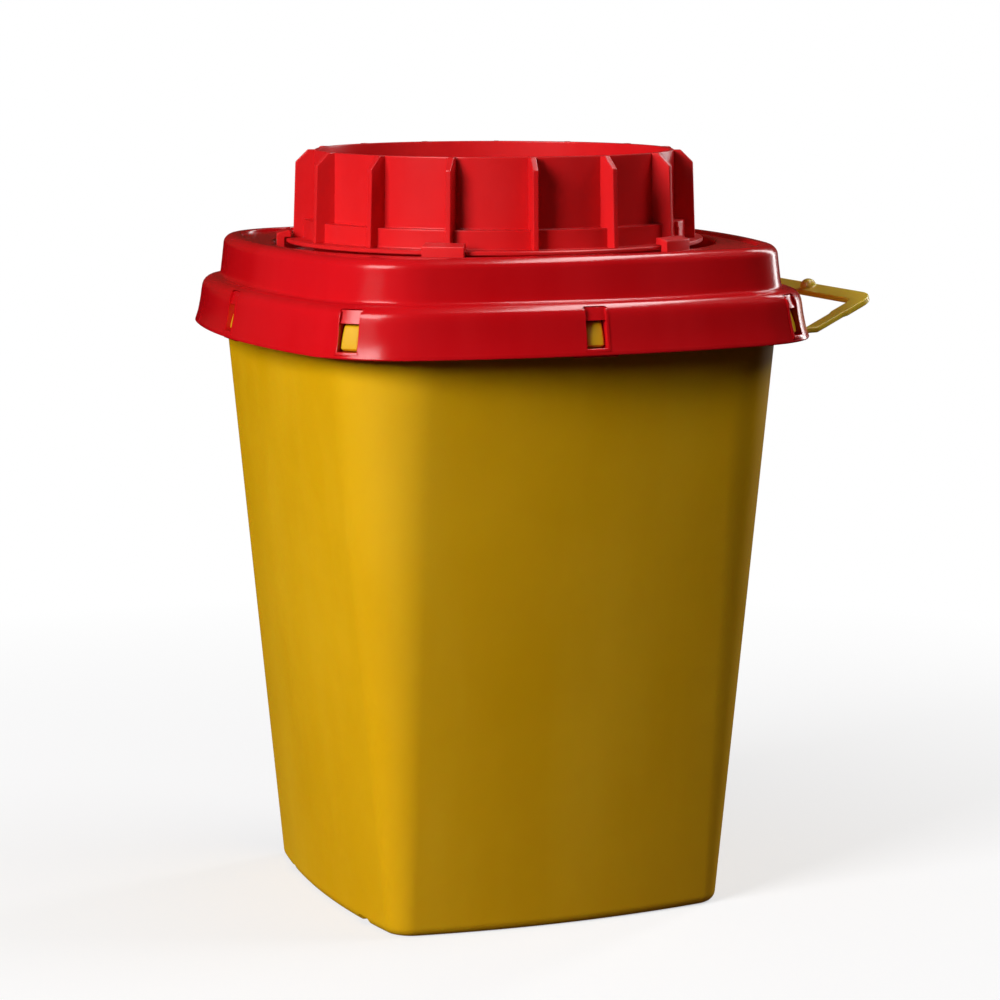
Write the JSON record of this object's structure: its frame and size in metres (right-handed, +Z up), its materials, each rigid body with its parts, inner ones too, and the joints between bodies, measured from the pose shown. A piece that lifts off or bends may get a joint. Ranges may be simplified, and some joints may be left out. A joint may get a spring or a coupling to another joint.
{
  "type": "sharps container",
  "caption": "Tapered square bucket with a push-fit lid, a ribbed turning collar over its drop opening and a folding strap handle.",
  "frame": {"origin": "centre of the foot plane, on the collar's axis", "axes": "+Z up along the collar's axis, +X towards the side that carries the handle"},
  "size_m": [0.1801, 0.156, 0.209],
  "materials": {
    "yellow_polypropylene": "satin",
    "red_polypropylene": "glossy",
    "handle_polypropylene": "satin"
  },
  "bodies": {
    "container": {"container_shell": "yellow_polypropylene", "container_floor": "yellow_polypropylene", "foot_ring": "yellow_polypropylene", "rim_bead": "yellow_polypropylene", "snap_lugs": "yellow_polypropylene", "handle_brackets": "yellow_polypropylene", "lid_dome": "red_polypropylene", "deck_ring": "red_polypropylene", "deck_panel": "red_polypropylene", "lid_skirt": "red_polypropylene", "window_pockets": "red_polypropylene", "plug_wall": "red_polypropylene", "bearing_ring": "red_polypropylene", "collar_clips": "red_polypropylene"},
    "collar": {"shutter_ring": "red_polypropylene", "shutter_panel": "red_polypropylene", "stripper_plate": "red_polypropylene", "collar_wall": "red_polypropylene", "base_band": "red_polypropylene", "collar_flange": "red_polypropylene", "grip_ribs": "red_polypropylene", "index_tab": "red_polypropylene"},
    "handle": {"grip_bar": "handle_polypropylene", "side_arms": "handle_polypropylene", "pivot_eyes": "handle_polypropylene", "grip_stud": "handle_polypropylene"}
  },
  "joints": [
    {"name": "collar_turn", "type": "hinge", "parent": "container", "child": "collar", "pos_m": [0, 0, 0.184], "axis": [0, 0, 1], "range_deg": [0, 180]},
    {"name": "handle_swing", "type": "hinge", "parent": "container", "child": "handle", "pos_m": [0.0705, 0, 0.1597], "axis": [0, -1, 0], "range_deg": [-103, 70]}
  ]
}
